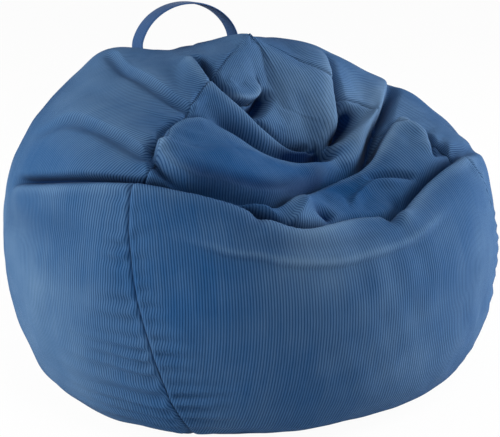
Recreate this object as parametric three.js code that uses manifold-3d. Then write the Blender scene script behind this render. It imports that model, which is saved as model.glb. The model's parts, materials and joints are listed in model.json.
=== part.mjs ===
// Bean bag chair: a cover of three corduroy gores and a base panel, closed by a zip in the back seam,
// over an inner bag of beads with its own filling zip, and a carrying strap.
// Millimetres, +Z up. The origin is the centre of the flat underside, and the sitting side faces -Y.
import * as THREE from 'three';
import Module from 'manifold-3d';

const wasm = await Module();
wasm.setup();

// ---------------------------------------------------------------- driving dimensions

// The filled cover's back follows an arc, so that the zip's slider turns about one straight axis.
const BACK_ARC = { y: 100, z: 200, radius: 336 };

// Profiles of the filled cover, [radius, height] from the edge of the base up to the apex, every
// 60 degrees round from the sitting side towards +X.
const PROFILES = [
  [[285, 0.5], [358, 30], [408, 110], [434, 210], [428, 290], [398, 345], [335, 368], [215, 380], [105, 485]],
  [[290, 0.5], [358, 30], [410, 110], [434, 210], [430, 305], [400, 395], [335, 440], [220, 475], [110, 560]],
  [[305, 0.5], [372, 30], [418, 110], [436, 210], [430, 305], [395, 385], [325, 468], [220, 546], [110, 580]],
  [[310, 0.5], [376, 30], arcPoint(-16), arcPoint(0), arcPoint(16), arcPoint(32), arcPoint(48), [220, 519],
    [110, 568]],
  [[312, 0.5], [374, 30], [414, 110], [436, 220], [430, 340], [393, 438], [325, 525], [222, 566], [110, 583]],
  [[325, 0.5], [392, 30], [426, 110], [440, 220], [436, 340], [412, 445], [340, 490], [230, 520], [110, 570]],
];
const APEX_HEIGHT = 600;

const SEAM_FRONT_LEFT = { angle: -60, lean: 13 };  // degrees from -Y towards +X; lean at the floor
const SEAM_FRONT_RIGHT = { angle: 60, lean: 0 };
const SEAM_BACK = { angle: 180, lean: 0 };
const SEAM_LEAN_END = 0.44;      // share of the profile where a leaning seam has straightened
const SEAM_GAP = 0.4;            // between two panels that meet
const TIP_RADIUS = 5;            // where the three gores stop short of their crossing seams

const COVER_CLOTH = 2.5;
const LINER_INSET = 7;           // from the cover's outside to the inner bag's outside
const LINER_CLOTH = 1;
const FILL_INSET = 14;
const EDGE_CLEARANCE = 2;        // between a base panel and the gores round it

const GORE_GRID = { columns: 18, rows: 20 };
const LINER_GRID = { columns: 9, rows: 20 };
const FILL_GRID = { columns: 36, rows: 20 };

const ZIP = {
  from: -12, to: 38,             // degrees on the back arc
  slotHalf: 6.5,                 // half the gap that the two rear panels leave for the zip
  teethHalf: 2.5, teethTop: -0.2, teethBottom: -4.1,
  tapeHalf: 14, tapeTop: -4.4, tapeBottom: -5.2,
  stopLength: 5,
};
const SLIDER = { length: 12, halfWidth: 4.4, flangeInner: 3.1, top: 1.7, under: 0.5, bottom: -4 };
const BAIL = { halfWidth: 1, halfLength: 2.3, wall: 0.8, top: 5.1 };
const PULL = { width: 8, length: 32, thickness: 1.2, bar: 1.2, eyeHalf: 2.2, eyeLength: 4 };
const SLIDER_REST = 34.8;         // degrees on the back arc: the zip is closed

const LINER_ZIP = { length: 170, teethHalf: 2, tapeHalf: 10, slotHalf: 4, sliderLength: 10 };

// The strap folds on a line `pivot` above the cloth, and stands `tilt` degrees forward of the cloth's normal.
const HANDLE = { x: 12, y: 222, halfSpan: 105, rise: 97, width: 38, thickness: 3.5, pivot: 21, tilt: 26, tab: 32 };

const LABEL = { width: 45, height: 28, thickness: 0.6, angle: -16.5, standOff: 1 };

// ---------------------------------------------------------------- colours and materials

const cloth = (color) => new THREE.MeshStandardMaterial({ color, roughness: 0.95, metalness: 0 });
const CORDUROY = cloth(0x3f6a9c);
const STRAP_CLOTH = cloth(0x46719f);
const TAPE_CLOTH = cloth(0x2c4669);
const LINER_CLOTH_LOOK = cloth(0xe6e4de);
const LABEL_CLOTH = cloth(0xf2f1ec);
const BEADS = cloth(0xf7f7f5);
const TEETH_PLASTIC = new THREE.MeshStandardMaterial({ color: 0x24405f, roughness: 0.5, metalness: 0 });
const BRASS = new THREE.MeshStandardMaterial({ color: 0xb08d4f, roughness: 0.35, metalness: 1 });

// ---------------------------------------------------------------- the filled shape

function arcPoint(degrees, outward = 0) {
  const a = THREE.MathUtils.degToRad(degrees);
  const r = BACK_ARC.radius + outward;
  return [BACK_ARC.y + r * Math.cos(a), BACK_ARC.z + r * Math.sin(a)];
}

function catmullRom(p0, p1, p2, p3, t) {
  return p1 + 0.5 * t * (p2 - p0 + t * (2 * p0 - 5 * p1 + 4 * p2 - p3 + t * (3 * (p1 - p2) + p3 - p0)));
}

// One control point of the profiles, running past both ends: below the base edge the profile carries
// straight on, and past the apex it comes down the other side.
function controlPoint(profile, index) {
  const points = PROFILES[(profile + PROFILES.length) % PROFILES.length];
  if (index < 0) {
    return [2 * points[0][0] - points[1][0], 2 * points[0][1] - points[1][1]];
  }
  if (index < points.length) {
    return points[index];
  }
  const last = points[points.length - 1];
  return index === points.length ? [0, APEX_HEIGHT] : [-last[0], last[1]];
}

// Point on the cover's outside at an angle (radians from -Y towards +X) and a share of the profile.
function coverPoint(angle, share) {
  const turn = ((angle / (2 * Math.PI)) * PROFILES.length + 2 * PROFILES.length) % PROFILES.length;
  const profile = Math.floor(turn);
  const along = share * PROFILES[0].length;
  const index = Math.min(Math.floor(along), PROFILES[0].length - 1);
  const column = (k) => [0, 1].map((axis) => catmullRom(
    controlPoint(profile - 1, k)[axis], controlPoint(profile, k)[axis],
    controlPoint(profile + 1, k)[axis], controlPoint(profile + 2, k)[axis], turn - profile));
  const columns = [index - 1, index, index + 1, index + 2].map(column);
  const [r, z] = [0, 1].map((axis) => catmullRom(
    columns[0][axis], columns[1][axis], columns[2][axis], columns[3][axis], along - index));
  return new THREE.Vector3(r * Math.sin(angle), -r * Math.cos(angle), z);
}

function coverNormal(angle, share) {
  const step = 1e-4;
  const [low, high] = [Math.max(share - step, 0), Math.min(share + step, 1 - step)];
  const across = coverPoint(angle + step, share).sub(coverPoint(angle - step, share));
  const up = coverPoint(angle, high).sub(coverPoint(angle, low));
  return across.cross(up).normalize();
}

// Point at a depth under the cover's outside.
function insetPoint(angle, share, depth) {
  return coverPoint(angle, share).addScaledVector(coverNormal(angle, share), -depth);
}

// Where a vertical line meets the top of the cover.
function topPoint(x, y) {
  const angle = Math.atan2(x, -y);
  const radius = Math.hypot(x, y);
  let [low, high] = [0.5, 1];
  for (let i = 0; i < 40; i += 1) {
    const middle = (low + high) / 2;
    const p = coverPoint(angle, middle);
    [low, high] = Math.hypot(p.x, p.y) > radius ? [middle, high] : [low, middle];
  }
  return { point: coverPoint(angle, low), normal: coverNormal(angle, low) };
}

function shareAtRadius(angle, radius) {
  let [low, high] = [0.8, 1];
  for (let i = 0; i < 40; i += 1) {
    const middle = (low + high) / 2;
    const p = coverPoint(angle, middle);
    [low, high] = Math.hypot(p.x, p.y) > radius ? [middle, high] : [low, middle];
  }
  return low;
}

function seamAngle(seam, share) {
  const lean = Math.max(0, 1 - share / SEAM_LEAN_END) ** 1.2;
  return THREE.MathUtils.degToRad(seam.angle + seam.lean * lean);
}

// ---------------------------------------------------------------- mesh helpers

// A closed body from its vertices and triangles, turned so that its faces point out.
function closedGeometry(points, triangles) {
  let volume = 0;
  for (const [a, b, c] of triangles) {
    volume += points[a].dot(points[b].clone().cross(points[c]));
  }
  const ordered = volume < 0 ? triangles.map(([a, b, c]) => [a, c, b]) : triangles;
  const geometry = new THREE.BufferGeometry();
  geometry.setAttribute('position', new THREE.Float32BufferAttribute(points.flatMap((p) => p.toArray()), 3));
  geometry.setIndex(ordered.flat());
  geometry.computeVertexNormals();
  return geometry;
}

// A sheet with thickness: two grids of points and the four edges between them.
function thickSheet(columns, rows, outer, inner) {
  const points = [];
  for (const side of [outer, inner]) {
    for (let j = 0; j <= rows; j += 1) {
      for (let i = 0; i <= columns; i += 1) {
        points.push(side(i / columns, j / rows));
      }
    }
  }
  const sideSize = (columns + 1) * (rows + 1);
  const at = (i, j, side) => side * sideSize + j * (columns + 1) + i;
  const triangles = [];
  const quad = (a, b, c, d) => triangles.push([a, b, c], [a, c, d]);
  for (let j = 0; j < rows; j += 1) {
    for (let i = 0; i < columns; i += 1) {
      quad(at(i, j, 0), at(i + 1, j, 0), at(i + 1, j + 1, 0), at(i, j + 1, 0));
      quad(at(i, j, 1), at(i, j + 1, 1), at(i + 1, j + 1, 1), at(i + 1, j, 1));
    }
  }
  for (let i = 0; i < columns; i += 1) {
    quad(at(i, 0, 0), at(i, 0, 1), at(i + 1, 0, 1), at(i + 1, 0, 0));
    quad(at(i, rows, 0), at(i + 1, rows, 0), at(i + 1, rows, 1), at(i, rows, 1));
  }
  for (let j = 0; j < rows; j += 1) {
    quad(at(0, j, 0), at(0, j + 1, 0), at(0, j + 1, 1), at(0, j, 1));
    quad(at(columns, j, 0), at(columns, j, 1), at(columns, j + 1, 1), at(columns, j + 1, 0));
  }
  return closedGeometry(points, triangles);
}

// A shape drawn in two directions and pushed along a third, from its start to its end.
function extruded(shape, across, up, along, start, length) {
  const geometry = new THREE.ExtrudeGeometry(shape, { depth: length, bevelEnabled: false, curveSegments: 12 });
  const place = new THREE.Matrix4().makeBasis(across, up, along);
  return geometry.applyMatrix4(place.setPosition(start));
}

function polygon(points) {
  return new THREE.Shape(points.map(([x, y]) => new THREE.Vector2(x, y)));
}

function rectangle(left, bottom, right, top) {
  return polygon([[left, bottom], [right, bottom], [right, top], [left, top]]);
}

function toManifold(geometry) {
  const position = geometry.getAttribute('position');
  const keys = new Map();
  const vertices = [];
  const remap = [];
  for (let i = 0; i < position.count; i += 1) {
    const p = [position.getX(i), position.getY(i), position.getZ(i)];
    const key = p.map((value) => value.toFixed(4)).join();
    if (!keys.has(key)) {
      keys.set(key, keys.size);
      vertices.push(...p);
    }
    remap.push(keys.get(key));
  }
  const index = geometry.index ? Array.from(geometry.index.array) : remap.map((_, i) => i);
  return new wasm.Manifold(new wasm.Mesh({
    numProp: 3,
    vertProperties: new Float32Array(vertices),
    triVerts: new Uint32Array(index.map((i) => remap[i])),
  }));
}

function fromManifold(solid) {
  const mesh = solid.getMesh();
  const geometry = new THREE.BufferGeometry();
  geometry.setAttribute('position', new THREE.BufferAttribute(mesh.vertProperties, 3));
  geometry.setIndex(new THREE.BufferAttribute(mesh.triVerts, 1));
  geometry.computeVertexNormals();
  return geometry;
}

const model = new THREE.Group();

function addPart(name, geometry, material) {
  const mesh = new THREE.Mesh(geometry, material);
  mesh.name = name;
  model.add(mesh);
}

// ---------------------------------------------------------------- gores

// Half of the gap between the two panels at a seam: wide along the cover's zip, else just clear.
function seamHalfGap(seam, share, withZip) {
  if (!withZip || seam !== SEAM_BACK) {
    return SEAM_GAP / 2;
  }
  const p = coverPoint(Math.PI, share);
  const degrees = THREE.MathUtils.radToDeg(Math.atan2(p.z - BACK_ARC.z, p.y - BACK_ARC.y));
  const ramp = 4;
  const inside = Math.min((degrees - ZIP.from) / ramp + 1, (ZIP.to - degrees) / ramp + 1);
  return THREE.MathUtils.lerp(SEAM_GAP / 2, ZIP.slotHalf, THREE.MathUtils.clamp(inside, 0, 1));
}

function goreGeometry(seamFrom, seamTo, grid, depth, thickness, withZip) {
  const tipShare = shareAtRadius(seamAngle(seamFrom, 1), TIP_RADIUS);
  const pointAt = (inset) => (u, v) => {
    const share = v * tipShare;
    const radius = Math.hypot(coverPoint(seamAngle(seamFrom, share), share).x,
      coverPoint(seamAngle(seamFrom, share), share).y);
    const from = seamAngle(seamFrom, share) + seamHalfGap(seamFrom, share, withZip) / radius;
    let to = seamAngle(seamTo, share) - seamHalfGap(seamTo, share, withZip) / radius;
    to += to < from ? 2 * Math.PI : 0;
    return insetPoint(THREE.MathUtils.lerp(from, to, u), share, inset);
  };
  return thickSheet(grid.columns, grid.rows, pointAt(depth), pointAt(depth + thickness));
}

function basePanelShape(inset) {
  const count = GORE_GRID.columns * 3;
  const points = [];
  for (let i = 0; i < count; i += 1) {
    const angle = (i / count) * 2 * Math.PI;
    const edge = coverPoint(angle, 0);
    const r = Math.hypot(edge.x, edge.y) - inset;
    points.push([r * Math.sin(angle), -r * Math.cos(angle)]);
  }
  return polygon(points);
}

const [X, Y, Z] = [new THREE.Vector3(1, 0, 0), new THREE.Vector3(0, 1, 0), new THREE.Vector3(0, 0, 1)];

function addCover() {
  const gore = (from, to) => goreGeometry(from, to, GORE_GRID, 0, COVER_CLOTH, true);
  addPart('front_panel', gore(SEAM_FRONT_LEFT, SEAM_FRONT_RIGHT), CORDUROY);
  addPart('rear_right_panel', gore(SEAM_FRONT_RIGHT, SEAM_BACK), CORDUROY);
  addPart('rear_left_panel', gore(SEAM_BACK, SEAM_FRONT_LEFT), CORDUROY);
  const base = extruded(basePanelShape(EDGE_CLEARANCE), X, Y, Z, new THREE.Vector3(), COVER_CLOTH);
  addPart('base_panel', base, CORDUROY);
}

// ---------------------------------------------------------------- cover zip

const toArcFrame = (degrees) => {
  const a = THREE.MathUtils.degToRad(degrees);
  const out = new THREE.Vector3(0, Math.cos(a), Math.sin(a));
  const up = new THREE.Vector3(0, -Math.sin(a), Math.cos(a));
  const [y, z] = arcPoint(degrees);
  return { out, up, origin: new THREE.Vector3(0, y, z) };
};

// A strip that follows the back arc, between two depths and two places across.
function arcStrip(left, right, bottom, top, from, to, steps) {
  const points = [];
  for (let i = 0; i <= steps; i += 1) {
    points.push(arcPoint(THREE.MathUtils.lerp(from, to, i / steps), top));
  }
  for (let i = steps; i >= 0; i -= 1) {
    points.push(arcPoint(THREE.MathUtils.lerp(from, to, i / steps), bottom));
  }
  return extruded(polygon(points), Y, Z, X, new THREE.Vector3(left, 0, 0), right - left);
}

function sliderGeometry() {
  const { out, up, origin } = toArcFrame(SLIDER_REST);
  const channel = polygon([
    [-SLIDER.halfWidth, SLIDER.bottom], [-SLIDER.flangeInner, SLIDER.bottom],
    [-SLIDER.flangeInner, SLIDER.under], [SLIDER.flangeInner, SLIDER.under],
    [SLIDER.flangeInner, SLIDER.bottom], [SLIDER.halfWidth, SLIDER.bottom],
    [SLIDER.halfWidth, SLIDER.top], [-SLIDER.halfWidth, SLIDER.top],
  ]);
  const start = origin.clone().addScaledVector(up, -SLIDER.length / 2);
  const body = toManifold(extruded(channel, X, out, up, start, SLIDER.length));
  const inner = BAIL.halfLength - BAIL.wall;
  const base = SLIDER.top - 0.3;
  const bail = polygon([
    [-BAIL.halfLength, base], [-inner, base], [-inner, BAIL.top - BAIL.wall], [inner, BAIL.top - BAIL.wall],
    [inner, base], [BAIL.halfLength, base], [BAIL.halfLength, BAIL.top], [-BAIL.halfLength, BAIL.top],
  ]);
  const side = origin.clone().addScaledVector(X, BAIL.halfWidth);
  const loop = toManifold(extruded(bail, up, out, X.clone().negate(), side, 2 * BAIL.halfWidth));
  return fromManifold(body.add(loop));
}

// The flat tab hangs from a bar through the bail, so its eye clears the bail's lower leg.
function pullTabGeometry() {
  const { out, up, origin } = toArcFrame(SLIDER_REST);
  const half = PULL.width / 2;
  const outline = polygon([
    [-half, PULL.bar / 2], [-half, -PULL.length + half], [-half * 0.7, -PULL.length],
    [half * 0.7, -PULL.length], [half, -PULL.length + half], [half, PULL.bar / 2],
  ]);
  outline.holes.push(rectangle(-PULL.eyeHalf, -PULL.bar / 2 - PULL.eyeLength, PULL.eyeHalf, -PULL.bar / 2));
  const start = origin.clone().addScaledVector(out, (SLIDER.top + BAIL.top - BAIL.wall - PULL.thickness) / 2);
  return extruded(outline, X.clone().negate(), up, X.clone().negate().cross(up), start, PULL.thickness);
}

function addZip() {
  const teethEnd = ZIP.to - 0.4;
  const stopAngle = THREE.MathUtils.radToDeg(ZIP.stopLength / BACK_ARC.radius);
  const { teethHalf, teethTop, teethBottom, tapeHalf, tapeTop, tapeBottom } = ZIP;
  for (const [side, sign] of [['left', -1], ['right', 1]]) {
    const strip = (near, far, bottom, top, from, to) => arcStrip(
      Math.min(sign * near, sign * far), Math.max(sign * near, sign * far), bottom, top, from, to, 16);
    addPart(`zip_tape_${side}`, strip(0.2, tapeHalf, tapeBottom, tapeTop, ZIP.from, ZIP.to), TAPE_CLOTH);
    addPart(`zip_teeth_${side}`, strip(0.2, teethHalf, teethBottom, teethTop,
      ZIP.from + 2 * stopAngle, teethEnd - 2 * stopAngle), TEETH_PLASTIC);
  }
  const stop = (from) => arcStrip(-teethHalf, teethHalf, teethBottom, teethTop + 0.5, from, from + stopAngle, 1);
  addPart('zip_bottom_stop', stop(ZIP.from + 0.9 * stopAngle), BRASS);
  addPart('zip_top_stop', stop(teethEnd - 1.9 * stopAngle), BRASS);
  addPart('zip_slider', sliderGeometry(), BRASS);
  addPart('zip_pull_tab', pullTabGeometry(), BRASS);
}

function addCareLabel() {
  const { out, up, origin } = toArcFrame(LABEL.angle);
  const plate = rectangle(-LABEL.width - 1, -LABEL.height / 2, -1, LABEL.height / 2);
  const start = origin.clone().addScaledVector(out, LABEL.standOff);
  const across = X.clone().negate();
  addPart('care_label', extruded(plate, across, up, across.clone().cross(up), start, LABEL.thickness),
    LABEL_CLOTH);
}

// ---------------------------------------------------------------- inner bag and beads

function addLiner() {
  const gore = (from, to) => goreGeometry(from, to, LINER_GRID, LINER_INSET, LINER_CLOTH, false);
  addPart('liner_front_panel', gore(SEAM_FRONT_LEFT, SEAM_FRONT_RIGHT), LINER_CLOTH_LOOK);
  addPart('liner_rear_right_panel', gore(SEAM_FRONT_RIGHT, SEAM_BACK), LINER_CLOTH_LOOK);
  addPart('liner_rear_left_panel', gore(SEAM_BACK, SEAM_FRONT_LEFT), LINER_CLOTH_LOOK);
  const base = basePanelShape(LINER_INSET);
  const halfLength = LINER_ZIP.length / 2;
  base.holes.push(rectangle(-halfLength, -LINER_ZIP.slotHalf, halfLength, LINER_ZIP.slotHalf));
  addPart('liner_base_panel', extruded(base, X, Y, Z, new THREE.Vector3(0, 0, LINER_INSET), LINER_CLOTH),
    LINER_CLOTH_LOOK);
}

function boxBetween(low, high) {
  const size = [0, 1, 2].map((i) => high[i] - low[i]);
  const geometry = new THREE.BoxGeometry(...size);
  return geometry.translate(...[0, 1, 2].map((i) => (low[i] + high[i]) / 2));
}

// The filling zip lies flat across the inner bag's base, so its slider runs straight along X.
function addLinerZip() {
  const half = LINER_ZIP.length / 2;
  const tapeBottom = LINER_INSET + LINER_CLOTH + 0.4;
  const teeth = { bottom: LINER_INSET - 1.4, top: tapeBottom - 0.3 };
  const stopLength = 4;
  for (const [side, sign] of [['left', -1], ['right', 1]]) {
    const strip = (near, far, x, bottom, top) => boxBetween(
      [-x, Math.min(sign * near, sign * far), bottom], [x, Math.max(sign * near, sign * far), top]);
    addPart(`liner_zip_tape_${side}`, strip(0.2, LINER_ZIP.tapeHalf, half, tapeBottom, tapeBottom + 0.8),
      LINER_CLOTH_LOOK);
    addPart(`liner_zip_teeth_${side}`, strip(0.2, LINER_ZIP.teethHalf, half - 6, teeth.bottom, teeth.top),
      TEETH_PLASTIC);
  }
  for (const [end, x] of [['near', -half + 1], ['far', half - 1 - stopLength]]) {
    const stop = boxBetween([x, -LINER_ZIP.teethHalf, teeth.bottom - 0.2],
      [x + stopLength, LINER_ZIP.teethHalf, teeth.top]);
    addPart(`liner_zip_stop_${end}`, stop, TEETH_PLASTIC);
  }
  const slider = polygon([
    [-3.7, teeth.top - 0.2], [-3.7, teeth.bottom - 1.3], [3.7, teeth.bottom - 1.3], [3.7, teeth.top - 0.2],
    [2.5, teeth.top - 0.2], [2.5, teeth.bottom - 0.5], [-2.5, teeth.bottom - 0.5], [-2.5, teeth.top - 0.2],
  ]);
  const start = new THREE.Vector3(half - 18, 0, 0);
  addPart('liner_zip_slider', extruded(slider, Y, Z, X, start, LINER_ZIP.sliderLength), BRASS);
}

function addFill() {
  const { columns, rows } = FILL_GRID;
  const points = [];
  for (let j = 0; j < rows; j += 1) {
    for (let i = 0; i < columns; i += 1) {
      points.push(insetPoint((i / columns) * 2 * Math.PI, j / rows, FILL_INSET));
    }
  }
  const baseHeight = Math.max(...points.slice(0, columns).map((p) => p.z));
  points.slice(0, columns).forEach((p) => { p.z = baseHeight; });
  const bottom = points.push(new THREE.Vector3(0, 0, baseHeight)) - 1;
  const top = points.push(new THREE.Vector3(0, 0, APEX_HEIGHT - FILL_INSET)) - 1;
  const triangles = [];
  for (let i = 0; i < columns; i += 1) {
    const next = (i + 1) % columns;
    triangles.push([bottom, next, i], [top, (rows - 1) * columns + i, (rows - 1) * columns + next]);
    for (let j = 0; j < rows - 1; j += 1) {
      const [a, b, c, d] = [j * columns + i, j * columns + next, (j + 1) * columns + next, (j + 1) * columns + i];
      triangles.push([a, b, c], [a, c, d]);
    }
  }
  addPart('bead_fill', closedGeometry(points, triangles), BEADS);
}

// ---------------------------------------------------------------- carrying handle

// The handle's own directions: chord between the strap's two feet, up along the loop, and the third.
function handleFrame() {
  const left = topPoint(HANDLE.x - HANDLE.halfSpan, HANDLE.y);
  const right = topPoint(HANDLE.x + HANDLE.halfSpan, HANDLE.y);
  const chord = right.point.clone().sub(left.point).normalize();
  const lean = left.normal.clone().add(right.normal);
  const out = lean.addScaledVector(chord, -lean.dot(chord)).normalize();
  const pivot = left.point.clone().add(right.point).multiplyScalar(0.5).addScaledVector(out, HANDLE.pivot);
  const up = out.applyAxisAngle(chord, THREE.MathUtils.degToRad(HANDLE.tilt));
  return { chord, up, side: up.clone().cross(chord), pivot, halfChord: left.point.distanceTo(right.point) / 2 };
}

// The loop: an arch of webbing whose two ends are rounded about the line that it folds on.
function handleLoopGeometry({ chord, up, side, pivot, halfChord }) {
  const half = HANDLE.width / 2;
  const inner = halfChord - HANDLE.thickness;
  const arch = new THREE.Shape();
  arch.moveTo(halfChord, -half);
  arch.lineTo(halfChord, 0);
  arch.absellipse(0, 0, halfChord, HANDLE.rise, 0, Math.PI, false);
  arch.lineTo(-halfChord, -half);
  arch.lineTo(-inner, -half);
  arch.lineTo(-inner, 0);
  arch.absellipse(0, 0, inner, HANDLE.rise - HANDLE.thickness, Math.PI, 0, true);
  arch.lineTo(inner, -half);
  const back = side.clone().negate();
  const start = pivot.clone().addScaledVector(back, -half);
  const band = new THREE.ExtrudeGeometry(arch, { depth: HANDLE.width, bevelEnabled: false, curveSegments: 24 });
  band.applyMatrix4(new THREE.Matrix4().makeBasis(chord, up, back).setPosition(start));
  const tongue = new THREE.Shape();
  tongue.absarc(0, 0, half, Math.PI, 2 * Math.PI, false);
  tongue.lineTo(half, 2 * HANDLE.rise);
  tongue.lineTo(-half, 2 * HANDLE.rise);
  const from = pivot.clone().addScaledVector(chord, -1.5 * halfChord);
  const cutter = extruded(tongue, side, up, side.clone().cross(up), from, 3 * halfChord);
  return fromManifold(toManifold(band).intersect(toManifold(cutter)));
}

function handleEndGeometry({ side }, sign) {
  const x = HANDLE.x + sign * (HANDLE.halfSpan + 2 + HANDLE.tab / 2);
  const { point, normal } = topPoint(x, HANDLE.y);
  const along = side.clone().cross(normal).normalize();
  const across = normal.clone().cross(along);
  const [halfTab, halfWidth] = [HANDLE.tab / 2, HANDLE.width / 2];
  const tab = rectangle(-halfTab, -halfWidth, halfTab, halfWidth);
  return extruded(tab, along, across, normal, point.addScaledVector(normal, 1.2), HANDLE.thickness);
}

function addHandle() {
  const frame = handleFrame();
  addPart('handle_strap', handleLoopGeometry(frame), STRAP_CLOTH);
  addPart('handle_end_left', handleEndGeometry(frame, -1), STRAP_CLOTH);
  addPart('handle_end_right', handleEndGeometry(frame, 1), STRAP_CLOTH);
}

addCover();
addZip();
addCareLabel();
addLiner();
addLinerZip();
addFill();
addHandle();

export default model;
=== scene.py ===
"""Bean bag chair: the looks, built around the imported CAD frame.

Metres, +Z up, the sitting side faces -Y. Places on the cover are given as an azimuth, in degrees from
-Y towards +X, and an elevation, in degrees above the horizontal through CENTRE.
"""

import json
import math

import bpy
import numpy as np
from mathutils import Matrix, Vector
from mathutils.bvhtree import BVHTree


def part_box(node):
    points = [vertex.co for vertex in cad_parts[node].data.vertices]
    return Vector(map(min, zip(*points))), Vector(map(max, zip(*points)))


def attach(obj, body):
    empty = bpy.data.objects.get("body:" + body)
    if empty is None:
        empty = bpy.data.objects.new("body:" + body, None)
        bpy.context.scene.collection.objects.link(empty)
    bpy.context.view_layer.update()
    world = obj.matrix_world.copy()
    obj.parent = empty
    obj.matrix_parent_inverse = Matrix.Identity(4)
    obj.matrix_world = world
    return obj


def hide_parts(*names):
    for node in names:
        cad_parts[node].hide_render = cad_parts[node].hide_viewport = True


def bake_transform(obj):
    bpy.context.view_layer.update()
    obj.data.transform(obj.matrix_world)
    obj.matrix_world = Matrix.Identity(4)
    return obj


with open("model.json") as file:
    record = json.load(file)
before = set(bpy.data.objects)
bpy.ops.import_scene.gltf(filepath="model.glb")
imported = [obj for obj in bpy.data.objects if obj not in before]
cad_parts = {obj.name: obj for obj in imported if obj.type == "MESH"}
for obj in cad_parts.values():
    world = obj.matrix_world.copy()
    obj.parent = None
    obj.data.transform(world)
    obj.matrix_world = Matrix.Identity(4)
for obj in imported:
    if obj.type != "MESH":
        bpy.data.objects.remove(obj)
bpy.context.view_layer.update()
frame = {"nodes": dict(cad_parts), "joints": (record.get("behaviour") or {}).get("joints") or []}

# ---------------- numbers that shape the looks

JOINTS = {joint["name"]: joint for joint in frame["joints"]}
CENTRE = np.array([0.0, 0.0, 0.22])
COVER_NODES = ("front_panel", "rear_left_panel", "rear_right_panel")
APEX_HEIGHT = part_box("front_panel")[1][2]
MM = 0.001

AZIMUTHS, RINGS = 24, 25       # samples of the CAD cover round and up
EQUATOR = 0.43                 # widest radius of the filled cover, about
COVER_OVERHANG = 0.002         # from the base's edge out to the cover's
CLOTH = 0.0025                 # thickness of the corduroy
WALE_PITCH = 0.0047
LINER_INSET = 0.0085           # from the cover's outside to the liner's
LINER_CLOTH = 0.001
LINER_FLOOR = 0.0078           # the lowest the liner comes
LINER_BASE_INSET = 0.005
FILL_INSET = 0.016
FILL_FLOOR = 0.0136

PANEL_GRID = (176, 264)        # columns across and rows up each panel's grid
FOLDED_TOP = (14.0, 72.0)      # elevations between which the rows lie closer
TOP_ELEVATION = 89.95          # where the panels end, short of a point at the apex
SETTLED_HEIGHT = 0.03          # below it the cover's relief fades out towards the floor
FULL_SHADE_DEPTH = 24          # mm, the depth at which a fold's or a spot's groove gets its darkest painted shade
FULL_LINE_SHADE_DEPTH = 20     # mm, the same for a line
FULL_HIGHLIGHT_RISE = 14            # mm, the rise at which a fold's edge gets its brightest painted highlight
CREST_HIGHLIGHT_STRENGTH = 0.8                 # how much the painted highlight on a fold's edge pales the cloth where it is brightest

FOOT_BULGE = (0.002, 0.021)    # how far the foot sags all round, and further at its fullest
FOOT_BULGE_AZIMUTH = 32
FOOT_BULGE_SPREAD = 48         # degrees

SIM_STEP = 2                   # the cloth simulation takes every second column and row
SIM_FRAMES = 20
DRAPE_CAP = 0.014
WEIGHT_LEVELS = 40             # steps in the simulation's vertex weights
CLOTH_SETTINGS = dict(
    quality=6, mass=0.15, tension_stiffness=25, compression_stiffness=25, shear_stiffness=8,
    bending_stiffness=4, air_damping=3, use_pressure=True, uniform_pressure_force=4,
    vertex_group_mass="hold", pin_stiffness=1, vertex_group_shrink="slack", shrink_min=0,
    shrink_max=-0.035)

# Seam lines: (elevation, azimuth) from the floor to the apex.
SEAM_FRONT_LEFT = ((-36, -47), (-24, -47.8), (-16, -50.8), (-8, -53), (6, -57), (20, -59), (28, -59),
                   (31, -57), (38, -56.5), (45, -59), (52, -59), (60, -60), (75, -60), (90, -60))
SEAM_FRONT_RIGHT = ((-36, 58), (-22, 56), (-8, 52.5), (6, 48.5), (15, 44.5), (22, 43), (27, 44),
                    (33, 47), (38, 50.5), (42, 47), (46, 46), (50, 51), (55, 51), (60, 46), (70, 48),
                    (80, 50), (90, 60))
SEAM_BACK = ((-36, 180), (90, 180))

# The cloth gathered at each seam: how much further and deeper its ripples are on the seam's left, and
# the share of the full depth they have.
SEAM_GATHERS = (
    (SEAM_FRONT_LEFT, 1.7, 1.25, 1.0),
    (SEAM_FRONT_RIGHT, 1.0, 1.0, 0.75),
    (SEAM_BACK, 1.0, 1.0, 0.3),
)
PUCKER_PITCH = 0.026           # between the ripples along a seam
PUCKER_REACH = (0.030, 0.06)   # how far they run off from it, and further at the foot
PUCKER_DEPTH = (0.0027, 0.0024)    # how deep they are, and deeper at the foot
PUCKER_DEPTH_MAX = 0.0058

# The zip's arc in the plane of the back seam, about the axis on which its slider travels.
ZIP_AXIS = JOINTS["zip_travel"]["pos_m"]
ZIP_RADIUS = 0.336
ZIP_ARC = (-12.0, 38.0)
ZIP_SLOT_HALF = 0.0065
ZIP_TAPE_HALF = 0.014
ZIP_TAPE_DEPTHS = (0.0044, 0.0052)
ZIP_PITCH = 0.0024

# A tooth's outline, in metres from the middle of the zip and in pitches along it, and its layers: how
# deep each lies and how far it is drawn in towards TOOTH_MIDDLE.
TOOTH_OUTLINE = ((0.0028, -0.30), (0.0028, 0.30), (0.0010, 0.34), (0.0002, 0.46), (-0.0008, 0.36),
                 (-0.0011, 0.0), (-0.0008, -0.36), (0.0002, -0.46), (0.0010, -0.34))
TOOTH_LAYERS = ((0.0006, 0.8), (0.0011, 1.0), (0.0034, 1.0), (0.0040, 0.8))
TOOTH_MIDDLE = 0.0008
TOOTH_PAST_MIDDLE = 0.0011

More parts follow.
